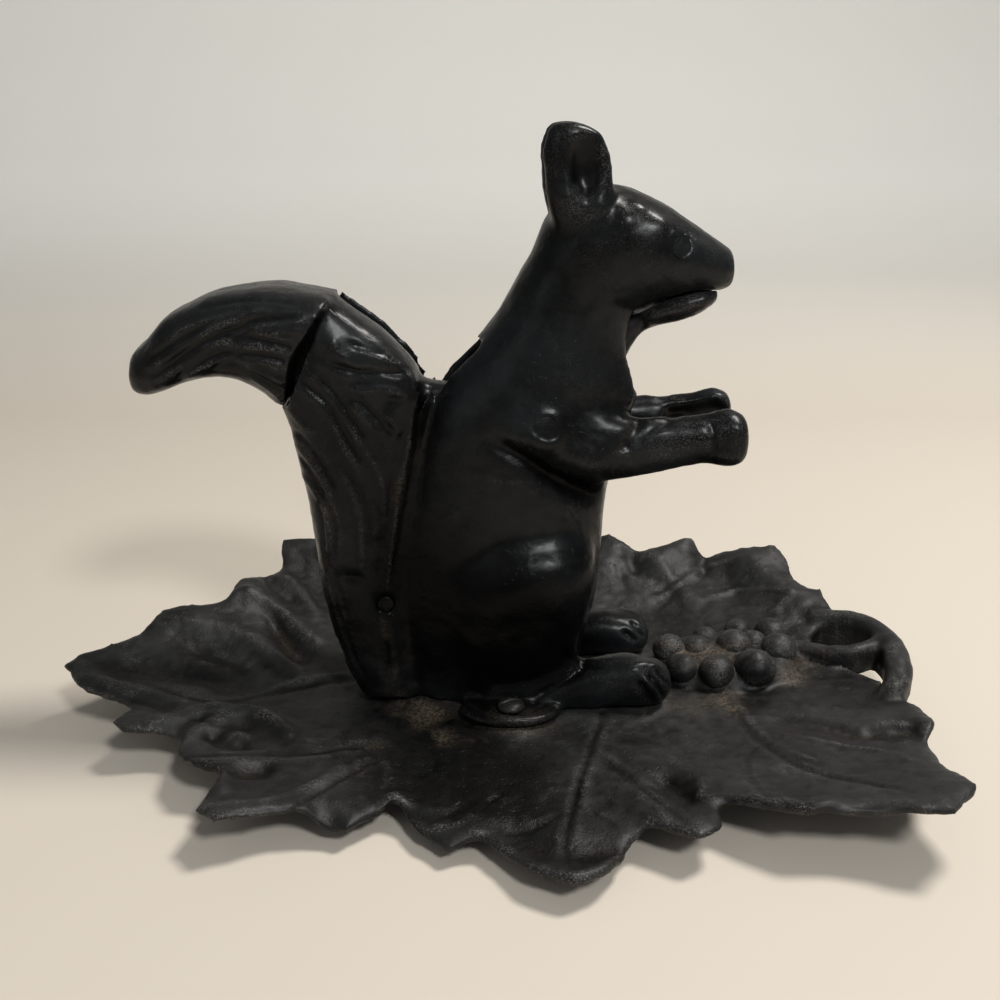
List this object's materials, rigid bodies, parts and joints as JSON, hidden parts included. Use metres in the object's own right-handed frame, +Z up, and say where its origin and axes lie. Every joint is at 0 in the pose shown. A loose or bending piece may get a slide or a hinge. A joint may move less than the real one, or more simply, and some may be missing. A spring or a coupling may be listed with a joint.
{
  "type": "lever nutcracker press",
  "caption": "Cast-iron table nutcracker in the shape of a sitting squirrel on a vine-leaf tray; pressing its lever tail lifts the lower jaw and cracks a nut in the mouth.",
  "frame": {"origin": "middle of the tray's flat foot, on the surface that the tray stands on", "axes": "+X along the tray from the lever tail to the squirrel's nose and the stalk loop, +Y across to the squirrel's left side, +Z up"},
  "size_m": [0.2903, 0.2221, 0.1948],
  "materials": {
    "black_painted_iron": "black semi-gloss paint on rough cast iron, worn to a paler grey on edges",
    "rusty_leaf_iron": "worn matt black paint on cast iron with brown rust and dust in the veins",
    "painted_steel": "black paint over steel pin and rivet heads",
    "worn_steel": "bare steel, worn and slightly oxidised"
  },
  "bodies": {
    "body": {"leaf_tray": "rusty_leaf_iron", "right_body_half": "black_painted_iron", "left_body_half": "black_painted_iron", "pivot_pin": "painted_steel", "tail_rivet": "painted_steel", "eye_rivet": "painted_steel", "right_base_screw": "worn_steel", "left_base_screw": "worn_steel", "right_base_nut": "worn_steel", "left_base_nut": "worn_steel"},
    "lever": {"tail_lever": "black_painted_iron"}
  },
  "joints": [
    {"name": "tail_lever_pivot", "type": "hinge", "parent": "body", "child": "lever", "pos_m": [0.01409, 0, 0.10596], "axis": [0, 1, 0], "range_deg": [0, 25]}
  ]
}
